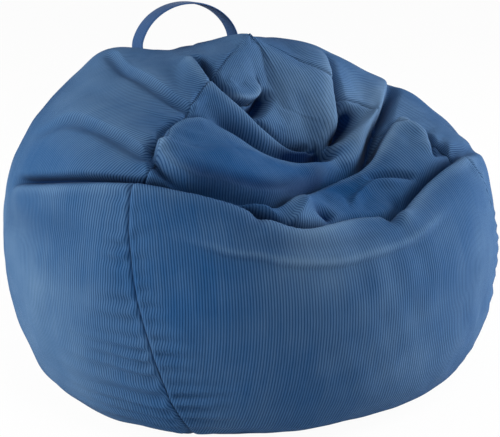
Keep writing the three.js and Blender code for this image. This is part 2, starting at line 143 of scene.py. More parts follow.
STRAP_UP = np.array([0.0625, 0.0963, 0.9934])
STRAP_WIDTH = 0.038
STRAP_THICKNESS = 0.0038
STRAP_HALF_SPAN = 0.105
STRAP_RISE = 0.081
STRAP_TAB = 0.032
STRAP_SEWN_LIFT = 0.0002       # the strap above the cover where it is sewn down
STRAP_BEND_LIFT = 0.004        # and where it turns up into the loop
LOOP_HALF_SPAN = 0.104
SECTION_POINTS = 20
STITCH_BOX = (0.004, 0.026, 0.0145)    # nearest and furthest from the strap's end, and half across
STITCH_PITCH = 0.0036
STITCH_RADIUS = 0.0005
STITCH_SIDES = 6

# The corduroy's colours: the smoother, darker pile and the brushed, paler pile, between which its random
# tone and also the painted light, painted shade and painted highlights move; painted shade in the grooves
# between the wales; and painted shade in the creases.
PILE_SMOOTH_AND_SHADED = (0.003, 0.060, 0.196)
PILE_BRUSHED_AND_LIT = (0.106, 0.192, 0.326)
SHADE_BETWEEN_WALES = (0.001, 0.026, 0.096)
PAINTED_CREASE_SHADE = (0.001, 0.012, 0.055)
BRASS_WORN, BRASS_AGED = (0.52, 0.36, 0.13), (0.16, 0.10, 0.035)

CAMERA_AZIMUTH, CAMERA_ELEVATION = -33, 18
CAMERA_DISTANCE = 3.1
CAMERA_TARGET = (0, 0, 0.27)
CAMERA_LENS = 125.3            # mm

LIGHT_AIM = (0, 0, 0.3)
LIGHTS = (                     # name, place, side in metres, watts, colour
    ("left", (-2.7, 0.9, 1.1), 1.6, 103, (1.0, 0.96, 0.89)),
    ("right", (2.8, -1.0, 1.0), 1.6, 117, (1, 1, 1)),
    ("top", (0.1, 0.9, 2.9), 2.0, 14, (1, 1, 1)),
    ("front", (-0.4, -2.4, 3.2), 1.4, 61, (1, 1, 1)),
)
FLOOR_HALF = 40                # half the studio floor's side
FLOOR_COLOUR = (0.86, 0.86, 0.86, 1)
FLOOR_GLOW = 0.96              # the floor's own light, seen by the camera only
WORLD_LIGHT = 0.1
WORLD_GLOW = 0.9               # more of it, seen by the camera only


# ---------------- small numeric helpers

def unit(v):
    v = np.asarray(v, float)
    return v / np.maximum(np.linalg.norm(v, axis=-1, keepdims=True), 1e-12)


def smoothstep(low, high, x):
    t = np.clip((x - low) / (high - low), 0, 1)
    return t * t * (3 - 2 * t)


def bell(x):
    return np.exp(-(x**2))


def cubic_weights(t):
    """Catmull-Rom weights of the four neighbours of a place t between the middle two."""
    return (
        0.5 * (-t + 2 * t**2 - t**3),
        0.5 * (2 - 5 * t**2 + 3 * t**3),
        0.5 * (t + 4 * t**2 - 3 * t**3),
        0.5 * (-t**2 + t**3),
    )


def smooth_curve(points, count):
    """count points on the Catmull-Rom curve through points."""
    p = np.asarray(points, float)
    p = np.vstack([2 * p[0] - p[1], p, 2 * p[-1] - p[-2]])
    t = np.linspace(0, len(points) - 1, count)
    i = np.minimum(t.astype(int), len(points) - 2)
    weights = cubic_weights((t - i)[:, None])
    return sum(w * p[i + k] for k, w in enumerate(weights))


def wave_noise(points, wavelength, seed, count=12):
    """Smooth noise in about -1 to 1, a sum of plane waves in seeded directions."""
    rng = np.random.default_rng(seed)
    total = 0
    for _ in range(count):
        heading = unit(rng.normal(size=3))
        length = wavelength * rng.uniform(0.75, 1.5)
        total = total + np.sin(points @ heading * (2 * math.pi / length) + rng.uniform(0, 2 * math.pi))
    return total / math.sqrt(count / 2) / 1.6


def turn_from(start, azimuth):
    """Degrees from start to azimuth, -180 to 180."""
    return (np.asarray(azimuth) - start + 180) % 360 - 180


# ---------------- the filled shape, from the CAD cover

def tree_of(shells):
    """For ray casts: the (vertices, faces) shells taken together."""
    vertices, faces = [], []
    for points, polygons in shells:
        faces += [[len(vertices) + i for i in polygon] for polygon in polygons]
        vertices += points
    return BVHTree.FromPolygons(vertices, faces)


def node_shells(names):
    meshes = [frame["nodes"][name].data for name in names]
    return [([v.co[:] for v in mesh.vertices], [p.vertices for p in mesh.polygons]) for mesh in meshes]


def grid_shells(grids):
    return [(grid.reshape(-1, 3).tolist(), grid_faces(numbered(*grid.shape[:2])).tolist())
            for grid in grids]


def horizontal(azimuth):
    a = np.radians(azimuth)
    return np.stack([np.sin(a), -np.cos(a), np.zeros_like(a)], -1)


def direction(azimuth, elevation):
    e = np.radians(elevation)[..., None]
    return horizontal(azimuth) * np.cos(e) + np.array([0, 0, 1.0]) * np.sin(e)


def padded_table(table):
    """The table with one more row below and two past the apex, where it comes down the other side."""
    below = 2 * table[:, :1] - table[:, 1:2]
    past = [np.roll(table[:, -k], AZIMUTHS // 2)[:, None] for k in (2, 3)]
    return np.hstack([below, table, *past])


def sample_cad_cover():
    """Edge radius by azimuth, and distance from CENTRE by azimuth and share of the way up."""
    base = tree_of(node_shells(["base_panel"]))
    cover = tree_of(node_shells(COVER_NODES))
    azimuths = (np.arange(AZIMUTHS) + 0.5) * 360 / AZIMUTHS
    edge = np.zeros(AZIMUTHS)
    reach = np.zeros((AZIMUTHS, RINGS))
    for i, azimuth in enumerate(azimuths):
        out = Vector(horizontal(azimuth))
        hit = base.ray_cast(out + Vector((0, 0, CLOTH / 2)), -out)[0]
        edge[i] = math.hypot(hit.x, hit.y) + COVER_OVERHANG
        low = -math.degrees(math.atan2(CENTRE[2], edge[i]))
        reach[i, 0] = math.hypot(edge[i], CENTRE[2])
        for j in range(1, RINGS - 1):
            aim = Vector(direction(azimuth, np.array(low + (90 - low) * j / (RINGS - 1))))
            hit = cover.ray_cast(Vector(CENTRE) + aim, -aim)[0]
            reach[i, j] = (hit - Vector(CENTRE)).length
        reach[i, -1] = APEX_HEIGHT - CENTRE[2]
    return edge, padded_table(reach)


EDGE_RADIUS, REACH = sample_cad_cover()


def edge_elevation(azimuth):
    """Elevation of the base's edge, where the cover meets the floor."""
    a = np.asarray(azimuth, float) / 360 * AZIMUTHS - 0.5
    i = np.floor(a).astype(int)
    weights = cubic_weights(a - i)
    radius = sum(w * EDGE_RADIUS[(i + k - 1) % AZIMUTHS] for k, w in enumerate(weights))
    return -np.degrees(np.arctan2(CENTRE[2], radius))


def filled_point(azimuth, elevation):
    """The smooth filled cover's surface in that direction."""
    azimuth, elevation = np.broadcast_arrays(np.asarray(azimuth, float), np.asarray(elevation, float))
    low = edge_elevation(azimuth)
    up = np.clip((elevation - low) / (90 - low), 0, 1) * (RINGS - 1)
    j = np.minimum(np.floor(up).astype(int), RINGS - 2)
    a = azimuth / 360 * AZIMUTHS - 0.5
    i = np.floor(a).astype(int)
    across, along = cubic_weights(a - i), cubic_weights(up - j)
    distance = 0
    for m, wm in enumerate(across):
        for n, wn in enumerate(along):
            distance = distance + wm * wn * REACH[(i + m - 1) % AZIMUTHS, j + n]
    distance = distance + zip_stretch(azimuth, elevation) * (arc_distance(elevation) - distance)
    return CENTRE + direction(azimuth, elevation) * distance[..., None]


def arc_distance(elevation):
    """How far the zip's arc is from CENTRE, straight behind."""
    e = np.radians(elevation)
    away = np.array([ZIP_AXIS[1], ZIP_AXIS[2] - CENTRE[2]])
    along = np.cos(e) * away[0] + np.sin(e) * away[1]
    return along + np.sqrt(np.maximum(along**2 - away @ away + ZIP_RADIUS**2, 0))


def zip_elevations():
    """Elevations of the zip's two ends, seen from CENTRE."""
    ends = np.radians(ZIP_ARC)
    y = ZIP_AXIS[1] + ZIP_RADIUS * np.cos(ends)
    z = ZIP_AXIS[2] + ZIP_RADIUS * np.sin(ends) - CENTRE[2]
    return np.degrees(np.arctan2(z, y))


ZIP_LOW, ZIP_HIGH = zip_elevations()


def along_zip(elevation, full, none):
    """1 along the zip until full degrees past its ends, falling to 0 at none degrees past them."""
    rising = smoothstep(ZIP_LOW - none, ZIP_LOW - full, elevation)
    return rising * smoothstep(ZIP_HIGH + none, ZIP_HIGH + full, elevation)


def zip_stretch(azimuth, elevation):
    """1 beside the zip, where the cover keeps the zip's arc, to 0 away from it."""
    return along_zip(elevation, 2, 7) * smoothstep(13, 4, np.abs(turn_from(180, azimuth)))


def filled_normal(azimuth, elevation):
    step = 0.4
    low = edge_elevation(azimuth)
    across = filled_point(azimuth + step, elevation) - filled_point(azimuth - step, elevation)
    below = filled_point(azimuth, np.maximum(elevation - step, low))
    above = filled_point(azimuth, np.minimum(elevation + step, 89.9))
    return unit(np.cross(across, above - below))


# ---------------- folds

# A fold is a line on the cover with raised cloth on its left as seen from outside, looking along it,
# and a groove on its right, which is given painted shade: name; rise and width, the height of the
# raised cloth and how far it reaches; groove and gap, the depth and half width of the groove; lean, how
# far the raised edge overhangs it; all in millimetres. Then the shares of the path over which it fades
# in and out; highlight, how much painted highlight its edge gets, or None for as much as its rise
# makes it; and its path's (azimuth, elevation) points.
FOLDS = (
    ("front rim", 8, 40, 24, 9, 7, (0.05, 0.08), None,
     ((12, 21.3), (3, 21.7), (-6, 22.2), (-14, 21.4), (-20, 21), (-26, 22.3), (-35, 25.9), (-44, 27.8),
      (-53, 28.4), (-60, 28.4), (-67, 27.4), (-79, 25.2), (-94, 21.9), (-104, 19.5))),
    ("under the great roll", 16, 44, 16, 10, 7, (0.06, 0.25), None,
     ((-59, 41), (-57, 37), (-53, 33.6), (-48, 31.8), (-41, 31), (-35, 30), (-28, 29.6), (-21, 31),
      (-13, 33.4), (-3, 35.4), (6, 36), (14, 36.6))),
    ("great roll's left end", 8, 26, 11, 7, 3, (0.2, 0.2), None,
     ((-50, 52.6), (-55, 50.6), (-58.6, 47), (-59.2, 43.5), (-58, 40), (-56, 36))),
    ("great roll's upper edge", 13, 30, 30, 16, 6, (0.2, 0.3), None,
     ((26, 49.4), (18, 47), (11, 44.6), (3, 42.4), (-5.5, 41.6), (-17, 43), (-27, 45.6), (-35.5, 48.6),
      (-43, 50.8), (-50, 52.4), (-57, 52.2))),
    ("strip under the petal", 11, 24, 24, 10, 5, (0.16, 0.14), None,
     ((15, 51.8), (6, 52), (-4, 52.4), (-13, 53.6), (-24, 56.2), (-33, 59), (-41, 61.4), (-50, 63.4),
      (-61, 65.6), (-70, 68), (-84, 70.5), (-94, 71.5))),
    ("tongue", 12, 18, 17, 4.5, 8, (0.15, 0.25), 1.0,
     ((-54, 65), (-47, 65), (-41, 65.8), (-36, 67.4), (-31, 70), (-28, 73.5), (-29, 78))),
    ("petal's right edge", 17, 42, 30, 12, 8, (0.3, 0.42), None,
     ((12, 52.4), (20, 53.4), (28, 55.6), (35, 60.5), (43, 64.6), (53, 66.9), (68, 67.8), (92, 65),
      (118, 61))),
    ("right band's upper edge", 12, 24, 4, 9, 5, (0.25, 0.2), None,
     ((62, 50), (48, 50.2), (41, 50.6), (33, 50.6), (23, 50.8), (13, 50))),
    ("right band's right edge", 18, 32, 30, 12, 9, (0.25, 0.5), None,
     ((13, 37.6), (20, 39.8), (31, 44.8), (45, 48.2), (65, 48.4), (80, 45.2), (92, 41.5), (108, 37))),
    ("seat band's upper edge", 15, 64, 10, 10, 7, (0.08, 0.12), None,
     ((55, 41.6), (50, 41.4), (46, 41.6), (37.5, 40.6), (28, 37.4), (20.5, 35.6), (13, 34.6), (6, 34.4),
      (-3, 34), (-14, 31.6), (-22, 28.6), (-27, 27))),
    ("seat band's right end", 10, 26, 16, 8, 4, (0.2, 0.2), None,
     ((38, 30), (43, 32.6), (48, 34.9), (50.5, 37.3), (51.5, 39.6), (54, 42))),
    ("right edge of the seat", 13, 50, 28, 13, 8, (0.45, 0.12), None,
     ((78, 15.5), (62, 21), (48, 25.4), (43, 26.2), (37, 26.2), (32, 26), (25.5, 25.2), (19.5, 23.8),
      (13.5, 22.2), (8, 20.4), (3, 18.6))),
    ("left shoulder", 7, 46, 7, 12, 2, (0.45, 0.08), 0.2,
     ((-112, 28), (-99, 34.5), (-89, 39.4), (-80, 40.2), (-70, 39.3), (-62.7, 37.7), (-57.5, 36.9))),
    ("left top", 8, 34, 7, 11, 2, (0.2, 0.08), 0.2,
     ((-122, 54.5), (-113, 56.8), (-91, 57.6), (-77, 56.9), (-65, 55.4), (-56, 53.6))),
    ("lip", 8, 34, 1, 7, 0, (0.2, 0.2), 0.7,
     ((-56, 20.4), (-43, 18.3), (-37, 16.9), (-31, 16.2), (-25, 14.8), (-14, 13.7), (-7.5, 14), (2, 14.6),
      (9, 15.5), (17.5, 17.6), (28, 20.5))),
)

# A line is a plain ridge or groove: name, height and half width in millimetres, the two fading shares,
# shade, how much painted shade it lays on the cloth, or None for as much as its depth makes it, and its
# path.
LINES = (
    ("behind the lip", 3, 10, (0.3, 0.3), None,
     ((-20, 16.6), (-10, 16.8), (0, 17.8), (10, 19.6), (18, 21.5))),
    ("between lip and rim", -4, 12, (0.3, 0.3), None,
     ((-40, 22), (-26, 18.6), (-12, 17.8), (2, 18.8))),
    ("great roll", 17, 42, (0.2, 0.3), None,
     ((-52, 42), (-42, 39.5), (-30, 37.5), (-16, 38), (0, 40), (16, 44), (30, 48))),
    ("pocket above the great roll", -6, 13, (0.4, 0.1), 1.2,
     ((-30, 52.2), (-20, 50.8), (-10, 49.6), (0, 49.2), (8, 49.6), (15, 50.8))),
    ("under the petal's hem", -3, 7, (0.3, 0.1), 1.0,
     ((-16, 55.4), (-6, 53.6), (4, 52.8), (14, 52.4))),
    ("pocket between petal and band", -14, 14, (0.25, 0.3), 1.3,
     ((18, 52.2), (26, 53.2), (34, 54.2), (41, 55.6), (47, 57.6))),
    ("under side of the great roll", -1, 17, (0.15, 0.25), 0.8,
     ((-53, 34), (-44, 32.4), (-35, 31.4), (-26, 31.2), (-16, 33.6), (-4, 36.4), (8, 38.2))),
    ("seat's upper crease", -12, 7, (0.3, 0.15), None,
     ((15, 31.2), (20, 31.5), (24, 30.9), (29, 28.2))),
    ("seat's ridge", 9, 9, (0.25, 0.2), None,
     ((-3, 25), (4, 27.4), (11, 28.8), (17.5, 29.4), (24, 27.6))),
    ("knot's left ridge", 9, 8, (0.25, 0.15), None,
     ((-38, 27.8), (-31, 27), (-27, 24.6), (-25, 22))),
    ("knot's right ridge", 9, 7, (0.15, 0.35), None,
     ((-25, 21.6), (-22, 24), (-18.6, 26.6), (-15, 28.8))),
    ("pocket beside the tongue", -32, 11, (0.3, 0.25), 1.4,
     ((-12, 75.5), (-18, 72.4), (-23, 69.4), (-29, 65.4), (-33, 62.6))),
    ("left waist", -3, 30, (0.3, 0.3), None,
     ((-120, 10), (-100, 14), (-80, 17), (-66, 18))),
)

# A dent or bulge: name, place, height and radius in millimetres, and painted shade as for a line.
SPOTS = (
    ("pocket under the tongue", (-33, 63.8), -14, 11, None),
    ("petal", (3, 67), 9, 60, None),
    ("pocket beside the band", (36, 43.8), -14, 20, None),
    ("pocket in the seat's corner", (15, 25), -10, 16, None),
    ("deep corner", (45, 30.5), -16, 16, None),
    ("dimple on the rim", (-33, 22.5), -4, 22, None),
    ("left of the knot", (-31, 24.4), -14, 12, None),
    ("right of the knot", (-13, 25), -17, 16, 1.2),
    ("left shoulder", (-122, 36), -9, 90, None),
    ("top left corner", (-124, 54), 17, 52, None),
    ("dip before the handle", (-152, 70), -10, 55, None),
    ("fall behind the apex", (122, 73), -13, 58, None),
    ("right flank", (56, -8), 3, 130, None),
    ("apex", (-60, 88), 6, 34, None),
    ("behind the band's end", (84, 37), 7, 40, None),
    ("above the right edge", (68, 29), -7, 50, None),
)

# Painted light, above 0, and painted shade, below 0, in patches on the cloth: place, radius in metres,
# amount.
PAINTED_LIGHT_AND_SHADE = (
    ((8, 68), 0.10, 0.6),
    ((-20, 0), 0.26, -0.4),
    ((-18, 18), 0.09, 0.9),
    ((-46, 14), 0.14, -0.5),
    ((-38, 33.5), 0.09, -0.5),
    ((-16, 35), 0.09, -0.5),
    ((3, 39), 0.07, -0.5),
    ((5, 27), 0.10, -0.4),
    ((-37, 23), 0.05, 0.5),
    ((54, 50), 0.09, 0.8),
    ((-40, 46), 0.08, -0.2),
    ((32, 24), 0.06, -0.4),
    ((-98, 5), 0.26, 0.5),
    ((-88, 26), 0.14, -0.7),
    ((-88, 46), 0.12, 0.35),
    ((-4, 0), 0.13, 0.35),
    ((6, -17), 0.13, 0.35),
    ((48, 2), 0.24, 0.3),
)


def path_on_cover(path, count=110):
    angles = smooth_curve(path, count)
    azimuth, elevation = angles[:, 0], angles[:, 1]
    return filled_point(azimuth, elevation), filled_normal(azimuth, elevation)


def across_path(points, path, reach):
    """For the points within reach of a path: their indices, signed distance to its left, share along
    it, and the direction to its left."""
    line, normal = path_on_cover(path)
    middle = line.mean(0)
    radius = np.linalg.norm(line - middle, axis=1).max() + reach
    near = np.flatnonzero(np.linalg.norm(points - middle, axis=1) < radius)
    offset = points[near, None, :] - line[None]
    nearest = np.einsum("ijk,ijk->ij", offset, offset).argmin(1)
    best = np.full(len(near), np.inf)
    place = np.zeros(len(near))
    for start in (nearest - 1, nearest):
        start = np.clip(start, 0, len(line) - 2)
        step = line[start + 1] - line[start]
        away = points[near] - line[start]
        t = np.clip(np.einsum("ij,ij->i", away, step) / np.einsum("ij,ij->i", step, step), 0, 1)
        gap = np.linalg.norm(away - step * t[:, None], axis=1)
        place = np.where(gap < best, start + t, place)
        best = np.minimum(best, gap)
    left = unit(np.cross(normal, np.gradient(line, axis=0)))
    k = np.minimum(place.astype(int), len(line) - 2)
    t = (place - k)[:, None]
    left = unit(left[k] * (1 - t) + left[k + 1] * t)
    foot = line[k] * (1 - t) + line[k + 1] * t
    side = np.einsum("ij,ij->i", points[near] - foot, left)
    return near, best * np.sign(side), place / (len(line) - 1), left


def fade(share, ends):
    return smoothstep(0, ends[0], share) * smoothstep(0, ends[1], 1 - share)


def add_fold(points, height, slide, hold, crease_shade, crest_highlight, fold):
    _, rise, width, groove, gap, lean, ends, highlight_amount, path = fold
    if highlight_amount is None:
        highlight_amount = min(rise / FULL_HIGHLIGHT_RISE, 1)
    reach, gap = width * MM, gap * MM
    near, d, share, left = across_path(points, path, 3 * reach)
    strength = fade(share, ends)
    dip = bell((d + gap) / gap)
    valley = strength * dip
    hold[near] = np.maximum(hold[near], valley)
    # Painted shade in the groove.
    crease_shade[near] = np.maximum(crease_shade[near], valley * min(groove / FULL_SHADE_DEPTH, 1))
    edge = 0.55 * gap
    raised = rise * MM * smoothstep(-edge, edge, d) * bell(np.maximum(d, 0) / reach)
    height[near] += strength * (raised - groove * MM * dip)
    slide[near] -= (lean * MM * strength * bell((d - edge) / (1.6 * gap)))[:, None] * left
    # Painted highlight along the raised edge.
    crest_highlight[near] += strength * bell((d - 0.9 * gap) / (0.8 * gap)) * highlight_amount


def shade_by_depth(shade, height, full):
    return min(max(-height / full, 0), 1) if shade is None else shade


def add_line(points, height, crease_shade, line):
    _, tall, width, ends, shade, path = line
    near, d, share, _ = across_path(points, path, 3 * (width * MM))
    strength = fade(share, ends) * bell(d / (width * MM))
    height[near] += tall * MM * strength
    # Painted shade along the line.
    shade = shade_by_depth(shade, tall, FULL_LINE_SHADE_DEPTH)
    crease_shade[near] = np.maximum(crease_shade[near], shade * strength)


def add_spot(points, height, crease_shade, spot):
    _, place, tall, radius, shade = spot
    strength = bell(np.linalg.norm(points - spot_point(place), axis=1) / (radius * MM))
    height += tall * MM * strength
    # Painted shade, from the dent's depth or the spot's own shade.
    np.maximum(crease_shade, shade_by_depth(shade, tall, FULL_SHADE_DEPTH) * strength, out=crease_shade)


def spot_point(place):
    return filled_point(np.array(place[0]), np.array(place[1]))


def nap_tone_and_painted_light(points):
    """Paleness: random broad patches of nap plus painted light and shade; above 0 paler, below darker."""
    flat = points.reshape(-1, 3)
    nap_and_light = 0.10 * wave_noise(flat, 0.25, 51) + 0.09 * wave_noise(flat, 0.07, 52)
    # Painted light and painted shade in the listed patches.
    for place, radius, amount in PAINTED_LIGHT_AND_SHADE:
        away = np.linalg.norm(flat - spot_point(place), axis=1) / radius
        nap_and_light += amount * bell(away)
    return nap_and_light.reshape(points.shape[:2])


def settled(points):
    """0 on the floor, where the cover lies flat, to 1 at SETTLED_HEIGHT and above."""
    return smoothstep(0.0, SETTLED_HEIGHT, points[:, 2])


def foot_bulge(points, azimuth):
    """The sag of the filled cover just above the floor, outwards, most of all at the front right."""
    least, more = FOOT_BULGE
    amount = least + more * bell(turn_from(FOOT_BULGE_AZIMUTH, azimuth) / FOOT_BULGE_SPREAD)
    height = points[:, 2]
    amount = amount * smoothstep(0, 0.022, height) * smoothstep(0.22, 0.04, height)
    return horizontal(azimuth) * amount[:, None]


def seam_azimuth(seam, elevation):
    elevations, azimuths = np.array(seam, float).T
    return np.interp(elevation, elevations, azimuths)


def seam_relief(points, azimuth, elevation):
    """Cloth gathered along the seams: a dip at each seam, and level ripples that run off from it."""
    radius = np.linalg.norm(points[:, :2], axis=1)
    low = smoothstep(10, -18, elevation)
    (least_reach, more_reach), (least_depth, more_depth) = PUCKER_REACH, PUCKER_DEPTH
    gathered = smoothstep(64, 30, elevation) * smoothstep(-36, -30, elevation)
    along = np.radians(elevation) * EQUATOR
    total = np.zeros(len(points))
    for number, (seam, left_reach, left_depth, share) in enumerate(SEAM_GATHERS):
        away = np.radians(turn_from(seam_azimuth(seam, elevation), azimuth)) * radius
        place = np.stack([along, np.full_like(along, number), 0.3 * np.sign(away)], -1)
        phase = 2 * math.pi * along / PUCKER_PITCH + 2.4 * wave_noise(place, 0.11, 5 + number)
        phase += np.abs(away) * 18 * wave_noise(place, 0.09, 15 + number)
        reach = (least_reach + more_reach * low) * (1 + 0.35 * wave_noise(place, 0.05, 25 + number))
        reach = reach * np.where(away < 0, left_reach, 1.0)
        depth = (least_depth + more_depth * low) * (1 + 0.5 * wave_noise(place, 0.06, 35 + number))
        depth = np.minimum(depth * np.where(away < 0, left_depth, 1.0), PUCKER_DEPTH_MAX) * share
        spread = (1 - bell(away / 0.009)) * bell(away / reach)
        sewn = 0.001 * bell((np.abs(away) - 0.008) / 0.006) - 0.0026 * bell(away / 0.0024)
        closed = 1 - along_zip(elevation, 1, 4) if seam is SEAM_BACK else 1
        total += (depth * np.cos(phase) * spread * gathered + sewn * smoothstep(88, 76, elevation)) * closed
    return total * settled(points)


def folded_points(azimuth, elevation):
    """For flat arrays of azimuth and elevation: the folded cover's outside, how firmly it is held, the
    painted shade in its creases and the painted highlight along its fold edges."""
    points = filled_point(azimuth, elevation)
    normal = filled_normal(azimuth, elevation)
    height = np.zeros(len(points))
    slide = foot_bulge(points, azimuth)
    hold = 1 - smoothstep(4, 24, elevation)
    crease_shade = np.zeros(len(points))
    crest_highlight = np.zeros(len(points))
    for fold in FOLDS:
        add_fold(points, height, slide, hold, crease_shade, crest_highlight, fold)
    for line in LINES:
        add_line(points, height, crease_shade, line)
    for spot in SPOTS:
        add_spot(points, height, crease_shade, spot)
    height += 0.0016 * wave_noise(points, 0.13, 3) + 0.0007 * wave_noise(points, 0.05, 4)
    stretch = zip_stretch(azimuth, elevation)
    hold = np.maximum(hold, stretch)
    height *= 1 - stretch
    free = settled(points)
    return points + normal * (height * free)[:, None] + slide * free[:, None], hold, crease_shade, crest_highlight


# ---------------- meshes

def add_mesh(name, vertices, faces, uvs=None, smooth=True):
    mesh = bpy.data.meshes.new(name)
    mesh.from_pydata(np.asarray(vertices).tolist(), [], [[int(i) for i in face] for face in faces])
    if uvs is not None:
        layer = mesh.uv_layers.new(name="Grain")
        loops = np.zeros(len(mesh.loops), np.int32)
        mesh.loops.foreach_get("vertex_index", loops)
        layer.data.foreach_set("uv", np.asarray(uvs, np.float32)[loops].ravel())
    mesh.polygons.foreach_set("use_smooth", [smooth] * len(mesh.polygons))
    mesh.update()
    piece = bpy.data.objects.new(name, mesh)
    bpy.context.scene.collection.objects.link(piece)
    return piece


def grid_faces(ids):
    """Faces between neighbours in a (columns, rows) grid of vertex numbers."""
    return np.stack([ids[:-1, :-1], ids[1:, :-1], ids[1:, 1:], ids[:-1, 1:]], -1).reshape(-1, 4)


def numbered(columns, rows, start=0):
    return start + np.arange(columns * rows).reshape(columns, rows)


def tube_faces(rings, count, start=0, side=1):
    """Faces of a tube of rings with count points each, closed at both ends; side -1 turns them over."""
    ids = numbered(rings, count, start).T
    faces = grid_faces(np.vstack([ids, ids[:1]]))[:, ::side].tolist()
    return faces + [ids[::-side, 0].tolist(), ids[::side, -1].tolist()]


def grid_normals(points):
    return unit(np.cross(np.gradient(points, axis=0), np.gradient(points, axis=1)))


def sheet_mesh(name, points, uvs, thickness):
    """A closed sheet whose outside is the (columns, rows, 3) grid of points."""
    inside = points - grid_normals(points) * thickness
    ids = numbered(*points.shape[:2])
    border = np.concatenate([ids[:, 0], ids[-1, 1:], ids[-2::-1, -1], ids[0, -2:0:-1]])
    after = np.roll(border, -1)
    rim = np.stack([border, border + ids.size, after + ids.size, after], -1)
    faces = np.vstack([grid_faces(ids), grid_faces(ids)[:, ::-1] + ids.size, rim])
    vertices = np.vstack([points.reshape(-1, 3), inside.reshape(-1, 3)])
    return add_mesh(name, vertices, faces, np.vstack([uvs.reshape(-1, 2)] * 2))


def spaced(fine, density, count):
    """count + 1 of the fine shares, closer together where density is high."""
    total = np.cumsum(density)
    return np.interp(np.linspace(total[0], total[-1], count + 1), total, fine)


def row_shares(rows):
    """Shares of the way from the base's edge to the apex, closer together over the folded top."""
    fine = np.linspace(0, 1, 2001)
    elevation = -35 + 125 * fine  # about, from the base to the apex
    low, high = FOLDED_TOP
    crowd = 0.65 * smoothstep(low - 8, low + 4, elevation)
    return spaced(fine, 0.75 + crowd * smoothstep(high + 8, high - 4, elevation), rows)


def column_shares(columns):
    """Shares of the way across a panel, closer together beside its seams."""
    fine = np.linspace(0, 1, 2001)
    return spaced(fine, 1 + 1.6 * bell((0.5 - np.abs(fine - 0.5)) / 0.035), columns)


def seam_line(seam, share):
    """The azimuth of a seam at shares of the way up."""
    azimuth = seam_azimuth(seam, np.zeros_like(share))
    for _ in range(6):
        azimuth = seam_azimuth(seam, elevation_at(azimuth, share))
    return azimuth


def elevation_at(azimuth, share):
    low = edge_elevation(azimuth)
    return low + (TOP_ELEVATION - low) * share


def panel_angles(seam_from, seam_to):
    """(azimuth, elevation) grids of a panel between two seams, closer together beside them."""
    columns, rows = PANEL_GRID
    u = column_shares(columns)
    share = row_shares(rows)
    start, end = seam_line(seam_from, share), seam_line(seam_to, share)
    end = np.where(end < start, end + 360, end)
    start = start + slot_half(seam_from, start, share)
    end = end - slot_half(seam_to, end, share)
    azimuth = start + (end - start) * u[:, None]
    return azimuth, elevation_at(azimuth, share)


def slot_half(seam, azimuth, share):
    """Half the zip's slot as an angle, 0 on a seam that is sewn shut."""
    if seam is not SEAM_BACK:
        return np.zeros_like(share)
    elevation = elevation_at(azimuth, share)
    radius = np.linalg.norm(filled_point(azimuth, elevation)[:, :2], axis=-1)
    return np.degrees(ZIP_SLOT_HALF / radius) * along_zip(elevation, -0.6, 1)


class Panel:
    """One gore of the cover: its grid of angles, its folded shape and the simulated drape on top."""

    def __init__(self, seam_from, seam_to, grain_gather=0.0):
        self.grain_gather = grain_gather
        self.azimuth, self.elevation = panel_angles(seam_from, seam_to)
        shape = self.azimuth.shape
        azimuth, elevation = self.azimuth.ravel(), self.elevation.ravel()
        self.filled = filled_point(azimuth, elevation).reshape(*shape, 3)
        self.normal = filled_normal(azimuth, elevation).reshape(*shape, 3)
        points, hold, crease_shade, crest_highlight = folded_points(azimuth, elevation)
        # Painted shade in the creases, and the paleness: random nap plus painted light, shade and
        # highlights.
        self.crease_shade = crease_shade.reshape(shape)
        self.paleness = nap_tone_and_painted_light(self.filled) + CREST_HIGHLIGHT_STRENGTH * crest_highlight.reshape(shape)
        self.points = points.reshape(*shape, 3)
        self.hold = hold.reshape(shape)
        self.drape = np.zeros_like(self.points)

    def grain(self):
        """Map coordinates in metres, across and along the wales."""
        middle = 0.5 * (self.azimuth[0, 0] + self.azimuth[-1, 0])
        radius = np.linalg.norm(self.filled[..., :2], axis=-1)
        gathered = np.where(self.elevation < 0, np.minimum(radius / EQUATOR, 1), 1) ** self.grain_gather
        across = np.radians(self.azimuth - middle) * radius * gathered
        step = np.linalg.norm(np.diff(self.filled, axis=1), axis=-1).mean(0)
        along = np.broadcast_to(np.concatenate([[0], np.cumsum(step)]), self.azimuth.shape)
        return np.stack([across, along], -1)


def finish_piece(piece, material, slot, *nodes, body="root"):
    piece.data.materials.append(material)
    if body:
        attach(piece, body)
    if nodes:
        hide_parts(*nodes)


def add_values(piece, name, grid):
    """A value at each point of a sheet's outside, and the same inside."""
    attribute = piece.data.attributes.new(name, "FLOAT", "POINT")
    attribute.data.foreach_set("value", np.tile(grid.ravel(), 2).astype(np.float32))


def cover_panel(name, panel):
    azimuth, elevation = panel.azimuth.ravel(), panel.elevation.ravel()
    relief = seam_relief(panel.filled.reshape(-1, 3), azimuth, elevation).reshape(panel.azimuth.shape)
    panel.outside = panel.points + panel.drape + panel.normal * relief[..., None]
    piece = sheet_mesh(name + "_corduroy", panel.outside, panel.grain(), CLOTH)
    # The painted shade, and the paleness with its painted light, shade and highlights, for the material.
    add_values(piece, "Painted_crease_shade", panel.crease_shade)
    add_values(piece, "Nap_and_painted_light", panel.paleness)
    finish_piece(piece, CORDUROY, "corduroy", name)


def inset_points(panel, inset, floor):
    """The draped shape moved inwards, on the coarse grid, no lower than floor."""
    points = coarse(panel.points + panel.drape - panel.normal * inset)
    points[..., 2] = np.maximum(points[..., 2], floor)
    return points


def liner_panel(name, panel):
    points = inset_points(panel, LINER_INSET, LINER_FLOOR)
    piece = sheet_mesh("liner_" + name + "_cloth", points, coarse(panel.grain()), LINER_CLOTH)
    finish_piece(piece, LINER_MATERIAL, "liner", "liner_" + name)


